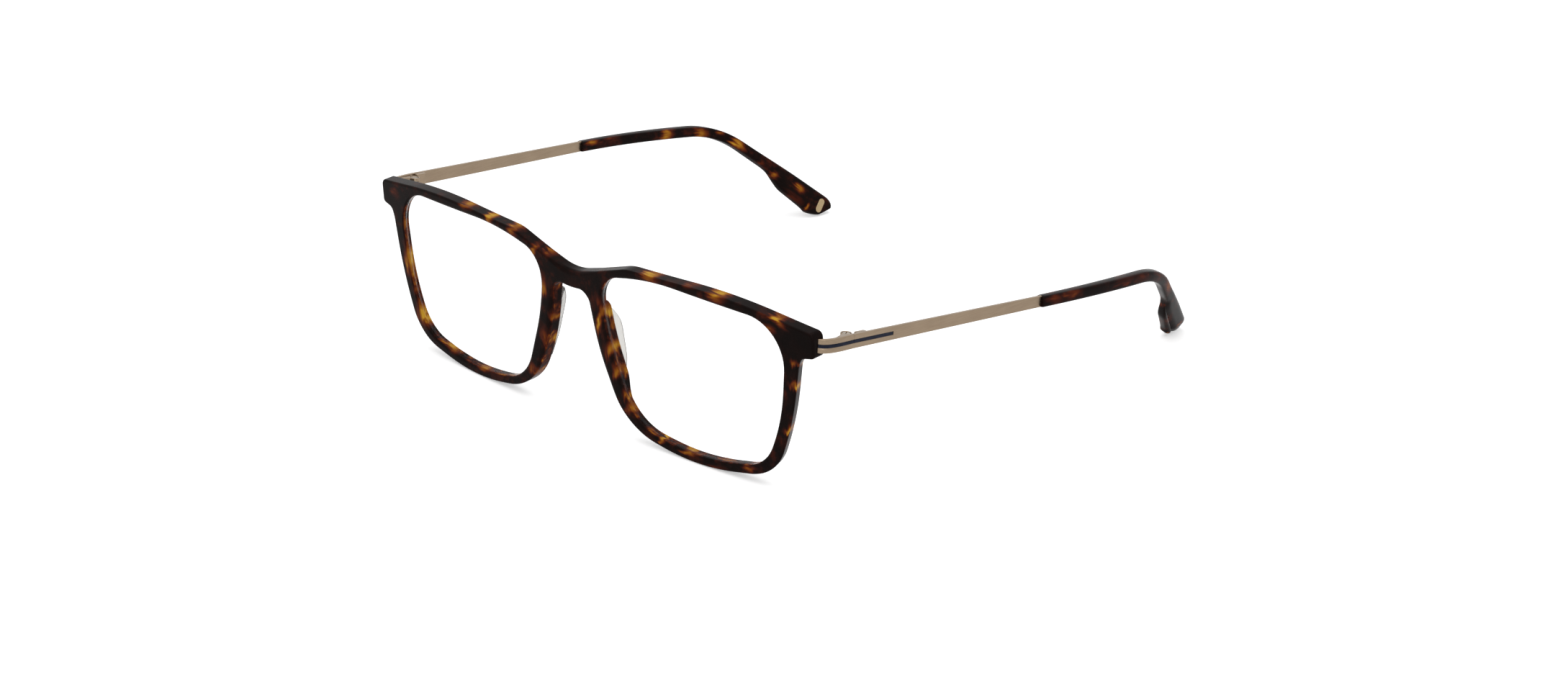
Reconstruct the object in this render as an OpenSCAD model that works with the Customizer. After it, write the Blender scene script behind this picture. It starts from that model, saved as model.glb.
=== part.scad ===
// Full-rim eyeglasses: acetate front, flat metal temples with acetate tips.
// It stands open on its rims and tip ends, facing -Y. The wearer's left is +X.

/* [Front] */
// Width of one lens
lens_w = 54.5; // [53:0.5:56]
// Height of one lens
lens_h = 39.5; // [38:0.5:41]
// Gap between the two lenses at the bridge
bridge_w = 18.4; // [17:0.2:20]
// Reach of each lug beyond its lens
lug_w = 6.8; // [6.5:0.1:7.2]
// Height of a lug's end
lug_h = 5.8; // [5.4:0.1:6.2]
// Width of the rim under the lens
rim_low = 1.7; // [1.5:0.1:2.2]
// Depth of the front from its face to its back
front_t = 3.3; // [3:0.1:3.6]
// Radius of the front's bow, seen from above
bow_r = 480; // [440:10:600]
// Forward lean of the front's top edge in degrees
front_lean = 4.4; // [3:0.2:6]

/* [Lenses and pads] */
// Thickness of a lens
lens_t = 1.6; // [1.2:0.1:1.8]
// How far the lens edge reaches into the rim's groove
groove_d = 0.5; // [0.3:0.1:0.6]
// Thickness of a nose pad
pad_t = 1.8; // [1.5:0.1:2]
// Angle at which a nose pad opens towards the back
pad_splay = 22; // [18:1:26]

/* [Temples] */
// Length of the metal bar behind the hinge
bar_len = 59; // [55:0.5:63]
// Thickness of the metal bar and of the end piece
metal_t = 0.8; // [0.7:0.05:0.9]
// Height of the bar at the hinge
bar_h = 3.2; // [3:0.1:3.4]
// Height of the bar where it enters the tip
bar_end_h = 2.6; // [2.2:0.1:2.8]
// Outward splay of an open temple in degrees
splay = 2.8; // [1:0.2:4]
// Fall of an open temple towards the tip in degrees
temple_fall = 5.3; // [4.9:0.1:5.7]
// Length of the acetate tip
tip_len = 86.5; // [82:0.5:90]
// Thickness of the tip
tip_t = 2.9; // [2.6:0.1:3.2]
// Height of the tip ahead of its paddle
tip_h = 2.7; // [2.5:0.1:3]
// Extra height of the paddle at the tip's end
paddle_h = 3.7; // [3.2:0.1:4.2]
// Downward bend of the tip behind the ear in degrees
ear_bend = 31; // [29:0.1:31.4]
// Inward turn of the tip through the bend in degrees
ear_turn = 19; // [16:0.1:22]

/* [Hinges] */
// Outer radius of the hinge knuckles
knuckle_r = 1.3; // [1.2:0.05:1.35]
// Height of the three knuckles together
knuckle_h = 2.6; // [2.4:0.1:3]
// Radius of the hinge screw's shank
screw_r = 0.55; // [0.5:0.05:0.6]
// Distance of the hinge axis inside the middle of the bar
hinge_in = 2.1; // [2.1:0.05:2.3]
// Height of the enamel stripe
stripe_h = 1; // [0.8:0.1:1.4]
// Length of the stripe on the bar
stripe_len = 12; // [8:1:16]

/* [Hidden] */
$fn = 48;

// Fits
fit_gap = 0.03;
running_gap = 0.04;
joint_gap = 0.1;

// Lens box in the front's own plane: x from the middle, z from the rim's foot
lens_in = bridge_w / 2;
lens_out = lens_in + lens_w;
lens_low = rim_low;
lens_top = rim_low + lens_h;
lug_x = lens_out + lug_w;
lug_z = lens_top - 4.3;
broad = 400;

// Corners of the lens opening as [x, z, radius]. A broad radius bows a whole side.
lens_corners = [
  [lens_in - 0.6, lens_top - 3.3, 7.5],
  [lens_in + 15.8, lens_top + 0.3, broad],
  [lens_out + 0.7, lens_top - 1.4, 10.3],
  [lens_out - 1.4, lens_low + 15.8, broad],
  [lens_out - 6.4, lens_low + 3.1, 10.6],
  [lens_in + 28.4, lens_low - 0.5, broad],
  [lens_in + 8.2, lens_low + 2.8, 13.4],
  [lens_in + 1.1, lens_low + 22.9, broad]
];

// Corners of the wearer's left half of the front, from the bridge's top round to its underside
bridge_top = [0, lens_top - 4.4, 30];
bridge_foot = [0, lens_top - 8.2, 60];
half_corners = [
  [lens_in - 1, lens_top - 2.1, 8.5],
  [lens_in + 9.1, lens_top + 1.1, 13],
  [lens_in + 38.6, lens_top + 2, broad],
  [lug_x, lug_z + lug_h / 2, 0.8],
  [lug_x, lug_z - lug_h / 2, 0.8],
  [lens_out + 2.5, lug_z - lug_h / 2 - 0.9, 5],
  [lens_out + 0.2, lens_low + 16, broad],
  [lens_out - 5.1, lens_low + 1.1, 11.5],
  [lens_in + 28.2, lens_low - 2.7, broad],
  [lens_in + 6.3, lens_low + 1.3, 17.5],
  [lens_in - 1.4, lens_low + 18.2, broad],
  [lens_in - 3.8, lens_top - 7.6, 4.5]
];

// Depths behind the front's face
lens_depth = (front_t - lens_t) / 2;
ridge_t = 0.6;
ridge_depth = (front_t - ridge_t) / 2;

// Mid height of the nose pads and their lean towards each other at the top
pad_z = 21;
pad_flare = 15;

// Rise of the rim's back beside each pad
bump_t = 1.3;

// Place of the wearer's left hinge, on its axis and at the bar's mid height
front_y = -71.05;
front_z = -0.08;
hinge_pos = [lug_x + 0.7, front_y + 12.45, 36.65];

// Slope of the end piece in degrees
end_fall = 3.2;

// Centre line of the end piece in plan, from its foot in the lug to the joint
foot_start = [-6.2, -8.6];
foot_end = [-1.4, -8.4];
bend_out = [1.5, -8.4];
bend_back = [hinge_in - 0.25, -5.2];
joint_end = [hinge_in, -joint_gap];
bend_steps = 14;
stripe_depth = 0.3;
stripe_sunk = 0.05;

// Screw that holds the foot in the lug
lug_screw_x = lug_x - 3.6;
lug_screw_r = 0.5;
lug_head_r = 0.9;
lug_head_t = 0.4;
lug_screw_depth = 1.4;

// Hinge heights measured from the bar's mid height
mid_knuckle_h = 0.8;
leaf_t = 0.65;
leaf_h = 2.2;
leaf_len = 4.6;
head_r = 0.95;
head_t = 0.35;
slot_w = 0.28;

// Route of the tip: a slight turn, then the bend behind the ear
bend_mid = tip_len / 2 + 2.65;
bend_len = 17.2;
bend_start = bend_mid - bend_len / 2;
turn_len = bend_len + 0.8;
first_turn = 9.5;
first_fall = 2.2;
section_roll = 26;
roll_start = bend_start + 1;
roll_len = 18;
notch_start = tip_len - 24.5;
notch_len = 9.2;
notch_part = 0.65;
top_swell = 0.55;
swell_start = tip_len - 18;
end_round = 3.2;
end_slant = 0.72;
slant_len = 10;
mouth_len = 0.4;
mouth_part = 0.83;
mouth_taper = 30;
tip_rings = 44;
tip_sides = 16;
core_r = 0.55;
core_len = 28;
core_arc_r = bend_start / (first_turn * PI / 180);

// Plain inlay on the inner face of the tip's end
plaque_at = tip_len - 3.8;
plaque_w = 1.7;
plaque_l = 4;
plaque_t = 0.4;

function unit(v) = v / norm(v);
function flat(c) = [c[0], c[1]];
function wrap_turn(a) = (a % 360 + 540) % 360 - 180;
function clamp01(v) = min(1, max(0, v));
function smooth(v) = clamp01(v) * clamp01(v) * (3 - 2 * clamp01(v));

// Arc that rounds the corner b between its neighbours a and c
function corner_arc(a, b, c) =
  let (
    to_a = flat(a) - flat(b),
    to_c = flat(c) - flat(b),
    half = acos(unit(to_a) * unit(to_c)) / 2,
    reach = min(b[2] / tan(half), 0.495 * norm(to_a), 0.495 * norm(to_c)),
    r = reach * tan(half),
    centre = flat(b) + unit(unit(to_a) + unit(to_c)) * r / sin(half),
    from = flat(b) + unit(to_a) * reach - centre,
    to = flat(b) + unit(to_c) * reach - centre,
    start = atan2(from[1], from[0]),
    turn = wrap_turn(atan2(to[1], to[0]) - start),
    steps = max(4, ceil(abs(turn) / 7))
  )
  [for (k = [0:steps]) centre + r * [cos(start + turn * k / steps), sin(start + turn * k / steps)]];

function rounded(corners) =
  let (n = len(corners))
  [for (i = [0:n - 1]) each corner_arc(corners[(i + n - 1) % n], corners[i], corners[(i + 1) % n])];

// Moves every point of a clockwise outline outwards by d
function grown(points, d) =
  let (n = len(points))
  [for (i = [0:n - 1])
    let (along = unit(points[(i + 1) % n] - points[(i + n - 1) % n]))
    points[i] + d * [-along[1], along[0]]];

function reversed(list) = [for (i = [len(list) - 1:-1:0]) list[i]];
function mirrored(corners) = [for (c = reversed(corners)) [-c[0], c[1], c[2]]];

front_outline = rounded(concat([bridge_top], half_corners, [bridge_foot], mirrored(half_corners)));
lens_outline = rounded(lens_corners);

// Bezier bend of the end piece and the direction square to it
function bend_point(t) =
  pow(1 - t, 3) * foot_end + 3 * t * pow(1 - t, 2) * bend_out
  + 3 * t * t * (1 - t) * bend_back + t * t * t * joint_end;
function bend_side(t) =
  let (along = unit(bend_point(t + 0.001) - bend_point(t - 0.001)))
  [along[1], -along[0]];
function bend_row(d, t0) =
  [for (k = [0:bend_steps]) let (t = t0 + (1 - t0) * k / bend_steps) bend_point(t) + d * bend_side(t)];

// Direction, place and size of the tip at a distance s along it
function turn_at(s) = first_turn * clamp01(s / bend_start) + ear_turn * clamp01((s - bend_start) / turn_len);
function fall_at(s) = first_fall * clamp01(s / bend_mid) + ear_bend * clamp01((s - bend_start) / bend_len);
function roll_at(s) = section_roll * clamp01((s - roll_start) / roll_len);
function along_at(s) =
  let (turn = turn_at(s), fall = fall_at(s))
  [-sin(turn) * cos(fall), cos(turn) * cos(fall), -sin(fall)];
function out_at(s) =
  let (side = [cos(turn_at(s)), sin(turn_at(s)), 0], up = cross(side, along_at(s)))
  side * cos(roll_at(s)) - up * sin(roll_at(s));
function up_at(s) = cross(out_at(s), along_at(s));
function ring_s(i) = i < 2 ? i * mouth_len : tip_len * (1 - pow(1 - (i - 1) / (tip_rings - 1), 1.5));
function ring_step(i) = along_at((ring_s(i) + ring_s(i + 1)) / 2) * (ring_s(i + 1) - ring_s(i));
function path_from(i, p) = i == tip_rings ? [p] : concat([p], path_from(i + 1, p + ring_step(i)));
tip_path = path_from(0, [0, 0, 0]);

function end_part(s) = clamp01(1 - (tip_len - s) / end_round);
function end_pull(s) = 1.7 * (1 - sqrt(1 - pow(end_part(s), 2)));
function end_thin(s) = 1 - 0.4 * pow(end_part(s), 3);
function notch_at(s) = smooth((s - notch_start) / notch_len);
function swell_at(s) = clamp01((s - swell_start) / (tip_len - swell_start));
function top_at(s) = tip_h / 2 + top_swell * notch_at(s) - end_pull(s);
function low_at(s) =
  tip_h / 2 + paddle_h * (notch_part * notch_at(s) + (1 - notch_part) * swell_at(s)) - end_pull(s);
function slant_at(s) = end_slant * smooth((s - tip_len + slant_len) / slant_len);
function mouth_at(s) = 0.9 + 0.1 * sqrt(clamp01(s / mouth_len));
function body_at(s) = mouth_part + (1 - mouth_part) * clamp01(s / mouth_taper);
function square_cos(a) = sign(cos(a)) * sqrt(abs(cos(a)));
function square_sin(a) = sign(sin(a)) * sqrt(abs(sin(a)));
function tip_middle(i) = tip_path[i] + up_at(ring_s(i)) * (top_at(ring_s(i)) - low_at(ring_s(i))) / 2;
function tip_ring(i) =
  let (
    s = ring_s(i),
    half = (top_at(s) + low_at(s)) / 2 * mouth_at(s),
    wide = tip_t / 2 * body_at(s) * mouth_at(s) * end_thin(s)
  )
  [for (k = [0:tip_sides - 1])
    let (a = 360 * (k + 0.5) / tip_sides, v = half * square_sin(a))
    tip_middle(i) + out_at(s) * wide * square_cos(a) + up_at(s) * v
      - along_at(s) * slant_at(s) * (half - v)];

module side(s) {
  mirror([s > 0 ? 0 : 1, 0, 0]) children();
}

// The front's own plane: x across, y backwards, z up
module front_space() {
  translate([0, front_y, front_z]) rotate([front_lean, 0, 0]) children();
}

// The wearer's left hinge: axis on z, the end piece ahead of it along -y
module hinge_space() {
  translate(hinge_pos) rotate([-temple_fall, 0, 0]) children();
}

// The end piece rises less steeply than the hinge's axis leans
module end_space() {
  translate(hinge_pos) rotate([-end_fall, 0, 0]) children();
}

module temple_space() {
  hinge_space() rotate([0, 0, -splay]) children();
}

module tip_space() {
  temple_space() translate([hinge_in, bar_len, 0]) children();
}

// Upright prism of a flat outline, from y0 back to y1
module upright(points, y0, y1) {
  translate([0, y1, 0]) rotate([90, 0, 0]) linear_extrude(y1 - y0) polygon(points);
}

// Bowed layer between two depths behind the front's face
module bowed_layer(d0, d1) {
  translate([0, bow_r, -5]) difference() {
    cylinder(r = bow_r - d0, h = 60, $fn = 900);
    translate([0, 0, -1]) cylinder(r = bow_r - d1, h = 62, $fn = 900);
  }
}

module lens_layer(grow, d0, d1) {
  intersection() {
    bowed_layer(d0, d1);
    upright(grown(lens_outline, grow), -1, 15);
  }
}

module front_shell() {
  intersection() {
    union() {
      bowed_layer(0, front_t);
      for (s = [1, -1]) side(s) bump_body();
    }
    difference() {
      upright(front_outline, -1, 15);
      for (s = [1, -1]) side(s) upright(lens_outline, -2, 16);
    }
  }
}

module strip(d0, d1, h, t0) {
  translate([0, 0, -h / 2]) linear_extrude(h) polygon(concat(bend_row(d0, t0), reversed(bend_row(d1, t0))));
}

module foot_strip(half, h) {
  x0 = foot_start[0] - half;
  translate([0, 0, -h / 2]) linear_extrude(h) polygon(concat(
    [[x0, foot_start[1] + half], [x0, foot_start[1] - half]],
    bend_row(half, 0), reversed(bend_row(-half, 0))));
}

// Screw square to the bowed back of the lug, its head flush with that back
module lug_screw_body(gap) {
  translate([0, bow_r, lug_z]) rotate([0, 0, asin(lug_screw_x / bow_r)]) translate([0, -bow_r, 0])
    rotate([-90, 0, 0]) {
      translate([0, 0, lug_screw_depth - gap])
        cylinder(r = lug_screw_r + gap, h = front_t - lug_screw_depth - 0.2);
      translate([0, 0, front_t - lug_head_t - gap])
        cylinder(r = lug_head_r + gap, h = lug_head_t + 10 * gap);
    }
}

module pad_profile() {
  polygon(rounded([
    [1.8, 28.5, 1], [4.2, 31, 2], [7.3, 26.5, 8], [7.1, 17, 8], [4.6, 11.5, 2.5], [1.8, 13, 1]]));
}

// The pad's own plane: it opens towards the back and its top leans to the nose
module pad_space() {
  translate([lens_in - 0.1, front_t, pad_z]) rotate([0, -pad_flare, -pad_splay])
    translate([0, -front_t, -pad_z]) children();
}

module pad_body() {
  pad_space() translate([-pad_t / 2, 0, 0]) rotate([90, 0, 90]) linear_extrude(pad_t) pad_profile();
}

// Raised back of the rim, between the pad and the lens
module bump_body() {
  high = front_t + bump_t;
  difference() {
    translate([4, 0, 0]) rotate([90, 0, 90]) linear_extrude(16)
      polygon(rounded([[1, 32, 0.1], [high, 31.4, 1.2], [high, 14, 14], [1, 7.5, 0.1]]));
    pad_space() translate([pad_t / 2 + fit_gap - 20, -10, 0]) cube([20, 30, 50]);
  }
}

module knuckle_plan() {
  difference() {
    union() {
      circle(r = knuckle_r);
      children();
    }
    circle(r = screw_r + fit_gap);
  }
}

module plaque(grow) {
  i = 1 + round((tip_rings - 1) * (1 - pow(1 - plaque_at / tip_len, 1 / 1.5)));
  s = ring_s(i);
  o = out_at(s);
  a = along_at(s);
  u = up_at(s);
  c = tip_middle(i);
  l = (plaque_l - plaque_w) / 2;
  multmatrix([[a[0], u[0], o[0], c[0]], [a[1], u[1], o[1], c[1]], [a[2], u[2], o[2], c[2]], [0, 0, 0, 1]])
    translate([0, 0, -tip_t / 2 - grow]) linear_extrude(plaque_t + 2 * grow) union() {
      for (e = [-l, l]) translate([0, e]) circle(r = plaque_w / 2 + grow);
      square([plaque_w + 2 * grow, 2 * l], center = true);
    }
}

module core(gap) {
  turn = (core_len + gap) / core_arc_r * 180 / PI;
  translate([-core_arc_r, -gap, 0]) rotate_extrude(angle = turn, $fn = 400)
    translate([core_arc_r, 0]) circle(r = core_r + gap, $fn = 32);
}

module front_frame() {
  color("saddlebrown") difference() {
    front_space() difference() {
      front_shell();
      for (s = [1, -1]) side(s) {
        lens_layer(groove_d + fit_gap, ridge_depth - fit_gap, ridge_depth + ridge_t + fit_gap);
        lug_screw_body(fit_gap);
      }
    }
    for (s = [1, -1]) side(s) end_space() foot_strip(metal_t / 2 + fit_gap, bar_h + 2 * fit_gap);
  }
}

module lens(s) {
  color("aliceblue", 0.4) side(s) front_space() union() {
    lens_layer(-fit_gap, lens_depth, lens_depth + lens_t);
    lens_layer(groove_d, ridge_depth, ridge_depth + ridge_t);
  }
}

module nose_pad(s) {
  color("whitesmoke", 0.6) side(s) front_space() intersection() {
    pad_body();
    translate([0, bow_r, -5]) cylinder(r = bow_r - front_t, h = 60, $fn = 900);
  }
}

module end_piece(s) {
  color("tan") side(s) difference() {
    end_space() difference() {
      foot_strip(metal_t / 2, bar_h);
      strip(metal_t / 2 - stripe_depth - fit_gap, metal_t, stripe_h + 2 * fit_gap, 0.06);
    }
    front_space() lug_screw_body(fit_gap);
  }
}

module end_piece_stripe(s) {
  color("midnightblue") side(s) end_space()
    strip(metal_t / 2 - stripe_depth, metal_t / 2 - stripe_sunk, stripe_h, 0.07);
}

module lug_screw(s) {
  color("silver") side(s) front_space() lug_screw_body(0);
}

// Everything outside the end piece's inner face
module outside_body() {
  translate([0, 0, -5]) linear_extrude(10)
    polygon(concat(bend_row(-metal_t / 2, 0), [[8, 0], [8, -12], [foot_end[0], -12]]));
}

module hinge_front_leaf(s) {
  web_h = (knuckle_h - mid_knuckle_h) / 2 - running_gap;
  web = [[0, -knuckle_r], [1, -leaf_len], [hinge_in, -leaf_len], [hinge_in, -0.2], [0, -0.2]];
  plate = [[1, -leaf_len], [hinge_in, -leaf_len], [hinge_in, -1.2], [1, -2]];
  color("tan") side(s) difference() {
    hinge_space() union() {
      for (z = [-knuckle_h / 2, knuckle_h / 2 - web_h]) {
        translate([0, 0, z]) linear_extrude(web_h) knuckle_plan() polygon(web);
      }
      translate([0, 0, -leaf_h / 2]) linear_extrude(leaf_h) polygon(plate);
    }
    end_space() outside_body();
    hinge_space() {
      translate([0, 0, -mid_knuckle_h / 2 - running_gap])
        cylinder(r = knuckle_r + 0.15, h = mid_knuckle_h + 2 * running_gap);
      translate([0, 0, knuckle_h / 2 - head_t - fit_gap]) cylinder(r = head_r + fit_gap, h = 1);
    }
  }
}

module hinge_temple_leaf(s) {
  inner = hinge_in - metal_t / 2;
  color("tan") side(s) temple_space() union() {
    translate([inner - leaf_t, knuckle_r + 0.3, -leaf_h / 2]) cube([leaf_t, leaf_len - knuckle_r, leaf_h]);
    translate([0, 0, -mid_knuckle_h / 2]) linear_extrude(mid_knuckle_h) difference() {
      union() {
        circle(r = knuckle_r);
        polygon([[0, knuckle_r], [inner, knuckle_r + 1.6], [inner, 0.2], [0, 0.2]]);
      }
      circle(r = screw_r + running_gap);
    }
  }
}

module hinge_screw(s) {
  color("silver") side(s) hinge_space() difference() {
    union() {
      translate([0, 0, -knuckle_h / 2]) cylinder(r = screw_r, h = knuckle_h - head_t + 0.1);
      translate([0, 0, knuckle_h / 2 - head_t]) cylinder(r = head_r, h = head_t);
    }
    translate([-slot_w / 2, -2, knuckle_h / 2 - head_t / 2]) cube([slot_w, 4, 1]);
  }
}

module temple_bar(s) {
  taper = [
    [joint_gap, -bar_h / 2], [bar_len, -bar_end_h / 2],
    [bar_len, bar_end_h / 2], [joint_gap, bar_h / 2]
  ];
  color("tan") side(s) union() {
    temple_space() difference() {
      translate([hinge_in - metal_t / 2, 0, 0]) rotate([90, 0, 90]) linear_extrude(metal_t) polygon(taper);
      translate([hinge_in + metal_t / 2 - stripe_depth - fit_gap, -1, -stripe_h / 2 - fit_gap])
        cube([1, stripe_len + 1 + fit_gap, stripe_h + 2 * fit_gap]);
    }
    tip_space() core(0);
  }
}

module temple_stripe(s) {
  color("midnightblue") side(s) temple_space()
    translate([hinge_in + metal_t / 2 - stripe_depth, joint_gap, -stripe_h / 2])
      cube([stripe_depth - stripe_sunk, stripe_len - joint_gap, stripe_h]);
}

module temple_tip(s) {
  last = tip_sides * (tip_rings + 1);
  rings = [for (i = [0:tip_rings]) each tip_ring(i)];
  sides = [for (i = [0:tip_rings - 1], k = [0:tip_sides - 1])
    let (a = i * tip_sides + k, b = i * tip_sides + (k + 1) % tip_sides)
    each [[b, a + tip_sides, a], [b + tip_sides, a + tip_sides, b]]];
  color("sienna") side(s) tip_space() difference() {
    polyhedron(rings, concat(sides,
      [[for (k = [1:tip_sides]) tip_sides - k]],
      [[for (k = [0:tip_sides - 1]) last - tip_sides + k]]));
    core(fit_gap);
    plaque(fit_gap);
  }
}

module tip_plaque(s) {
  color("goldenrod") side(s) tip_space() plaque(0);
}

front_frame();
lens(1);  // lens_left
lens(-1);  // lens_right
nose_pad(1);  // nose_pad_left
nose_pad(-1);  // nose_pad_right
end_piece(1);  // end_piece_left
end_piece(-1);  // end_piece_right
end_piece_stripe(1);  // end_piece_stripe_left
end_piece_stripe(-1);  // end_piece_stripe_right
lug_screw(1);  // lug_screw_left
lug_screw(-1);  // lug_screw_right
hinge_front_leaf(1);  // hinge_front_leaf_left
hinge_front_leaf(-1);  // hinge_front_leaf_right
hinge_temple_leaf(1);  // hinge_temple_leaf_left
hinge_temple_leaf(-1);  // hinge_temple_leaf_right
hinge_screw(1);  // hinge_screw_left
hinge_screw(-1);  // hinge_screw_right
temple_bar(1);  // temple_bar_left
temple_bar(-1);  // temple_bar_right
temple_stripe(1);  // temple_stripe_left
temple_stripe(-1);  // temple_stripe_right
temple_tip(1);  // temple_tip_left
temple_tip(-1);  // temple_tip_right
tip_plaque(1);  // tip_plaque_left
tip_plaque(-1);  // tip_plaque_right
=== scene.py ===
import bpy
import bmesh
import math
from mathutils import Matrix, Vector, kdtree


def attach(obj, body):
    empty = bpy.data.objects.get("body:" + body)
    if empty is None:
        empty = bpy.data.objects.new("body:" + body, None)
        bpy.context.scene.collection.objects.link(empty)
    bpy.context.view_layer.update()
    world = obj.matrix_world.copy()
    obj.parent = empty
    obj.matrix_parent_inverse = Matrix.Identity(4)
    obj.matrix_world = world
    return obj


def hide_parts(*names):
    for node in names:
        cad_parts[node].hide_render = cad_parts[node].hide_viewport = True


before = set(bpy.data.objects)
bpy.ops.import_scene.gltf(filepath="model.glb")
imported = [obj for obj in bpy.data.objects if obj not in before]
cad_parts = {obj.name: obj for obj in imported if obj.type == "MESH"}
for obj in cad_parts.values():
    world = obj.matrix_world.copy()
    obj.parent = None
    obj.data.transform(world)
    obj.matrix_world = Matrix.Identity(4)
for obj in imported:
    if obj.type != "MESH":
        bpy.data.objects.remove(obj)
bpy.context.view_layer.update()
print("frame loaded,", len(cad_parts), "nodes")

mm = 0.001  # pieces are drawn in millimetres and scaled when they are settled


def deselect():
    if bpy.context.mode != "OBJECT":
        bpy.ops.object.mode_set(mode="OBJECT")
    bpy.ops.object.select_all(action="DESELECT")


def take(obj):
    deselect()
    obj.select_set(True)
    bpy.context.view_layer.objects.active = obj
    return obj


def turned(degrees, axis):
    return Matrix.Rotation(math.radians(degrees), 4, axis)


def clamp01(v):
    return min(1.0, max(0.0, v))


def eased(v):
    v = clamp01(v)
    return v * v * (3 - 2 * v)


def closeMesh(obj, gap=0.0005):
    take(obj)
    bpy.ops.object.mode_set(mode="EDIT")
    bpy.ops.mesh.select_all(action="SELECT")
    bpy.ops.mesh.remove_doubles(threshold=gap)
    bpy.ops.mesh.normals_make_consistent(inside=False)
    bpy.ops.object.mode_set(mode="OBJECT")


def settle(obj, space):
    # the place goes into the mesh, the object stays at the origin
    obj.matrix_world = Matrix.Scale(mm, 4) @ space
    take(obj)
    bpy.ops.object.transform_apply(location=True, rotation=True, scale=True)
    return obj


def polish(obj, angle=42):
    take(obj)
    bpy.ops.object.shade_smooth_by_angle(angle=math.radians(angle))
    bpy.ops.object.modifier_add(type="WEIGHTED_NORMAL")
    weighted = obj.modifiers[-1]
    weighted.keep_sharp = True
    bpy.ops.object.modifier_apply(modifier=weighted.name)


def otherSide(obj, name):
    take(obj)
    bpy.ops.object.duplicate()
    twin = bpy.context.object
    twin.name = name
    twin.scale.x = -1
    bpy.ops.object.transform_apply(location=False, rotation=False, scale=True)
    bpy.ops.object.mode_set(mode="EDIT")
    bpy.ops.mesh.select_all(action="SELECT")
    bpy.ops.mesh.normals_make_consistent(inside=False)
    bpy.ops.object.mode_set(mode="OBJECT")
    return twin


def join(name, parts):
    deselect()
    for part in parts:
        part.select_set(True)
    bpy.context.view_layer.objects.active = parts[0]
    bpy.ops.object.join()
    parts[0].name = name
    return parts[0]


def dress(obj, body, nodes, material):
    obj.data.materials.clear()
    obj.data.materials.append(material)
    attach(obj, body)
    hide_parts(*nodes)


# corners are (across, up, radius); each becomes two curve points with an arc between them
def roundedPoints(corners):
    points = []
    count = len(corners)
    for i in range(count):
        before, here, after = corners[i - 1], corners[i], corners[(i + 1) % count]
        at = Vector(here[:2])
        toBefore = Vector(before[:2]) - at
        toAfter = Vector(after[:2]) - at
        half = toBefore.angle(toAfter) / 2
        reach = min(here[2] / math.tan(half), 0.495 * toBefore.length, 0.495 * toAfter.length)
        hold = 4 / 3 * math.tan((math.pi - 2 * half) / 4) * reach * math.tan(half)
        toBefore.normalize()
        toAfter.normalize()
        points.append((at + toBefore * reach, "in", at + toBefore * (reach - hold)))
        points.append((at + toAfter * reach, "out", at + toAfter * (reach - hold)))
    return points


def drawLoop(spline, corners):
    points = roundedPoints(corners)
    spline.bezier_points.add(len(points) - len(spline.bezier_points))
    spline.use_cyclic_u = True
    for spot, (at, kind, handle) in zip(spline.bezier_points, points):
        spot.co = (at.x, at.y, 0)
        spot.handle_left_type = "VECTOR" if kind == "in" else "FREE"
        spot.handle_right_type = "FREE" if kind == "in" else "VECTOR"
        if kind == "in":
            spot.handle_right = (handle.x, handle.y, 0)
        else:
            spot.handle_left = (handle.x, handle.y, 0)


def cutPlate(name, loops, thick, edge, steps=12, edgeSteps=3, grow=0.0):
    # flat filled curve with rounded edges, then a mesh: drawn in XY, thick along Z
    deselect()
    bpy.ops.curve.primitive_bezier_circle_add(radius=1)
    obj = bpy.context.object
    obj.name = name
    curve = obj.data
    curve.dimensions = "2D"
    curve.fill_mode = "BOTH"
    curve.resolution_u = steps
    curve.extrude = thick / 2 - edge
    curve.bevel_depth = edge
    curve.bevel_resolution = edgeSteps
    curve.offset = grow - edge
    drawLoop(curve.splines[0], loops[0])
    for loop in loops[1:]:
        drawLoop(curve.splines.new("BEZIER"), loop)
    bpy.ops.object.convert(target="MESH")
    closeMesh(obj)
    return obj


def loft(name, rings):
    # a filled circle is extruded from ring to ring, and each new ring is shaped in place
    deselect()
    bpy.ops.mesh.primitive_circle_add(vertices=len(rings[0]), fill_type="NGON", location=(0, 0, 0))
    obj = bpy.context.object
    obj.name = name
    bpy.ops.object.mode_set(mode="EDIT")
    shell = bmesh.from_edit_mesh(obj.data)
    shell.verts.ensure_lookup_table()
    for spot, at in zip(shell.verts, rings[0]):
        spot.co = at
    order = {spot.index: k for k, spot in enumerate(shell.verts)}
    for ring in rings[1:]:
        bmesh.update_edit_mesh(obj.data)
        bpy.ops.mesh.extrude_region_move()
        shell = bmesh.from_edit_mesh(obj.data)
        shell.verts.index_update()
        fresh = {}
        for spot in [v for v in shell.verts if v.select]:
            older = [e.other_vert(spot) for e in spot.link_edges if not e.other_vert(spot).select]
            fresh[spot.index] = order[older[0].index]
            spot.co = ring[fresh[spot.index]]
        order = fresh
    bmesh.update_edit_mesh(obj.data)
    bpy.ops.mesh.select_all(action="SELECT")
    bpy.ops.mesh.normals_make_consistent(inside=False)
    bpy.ops.object.mode_set(mode="OBJECT")
    return obj


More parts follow.
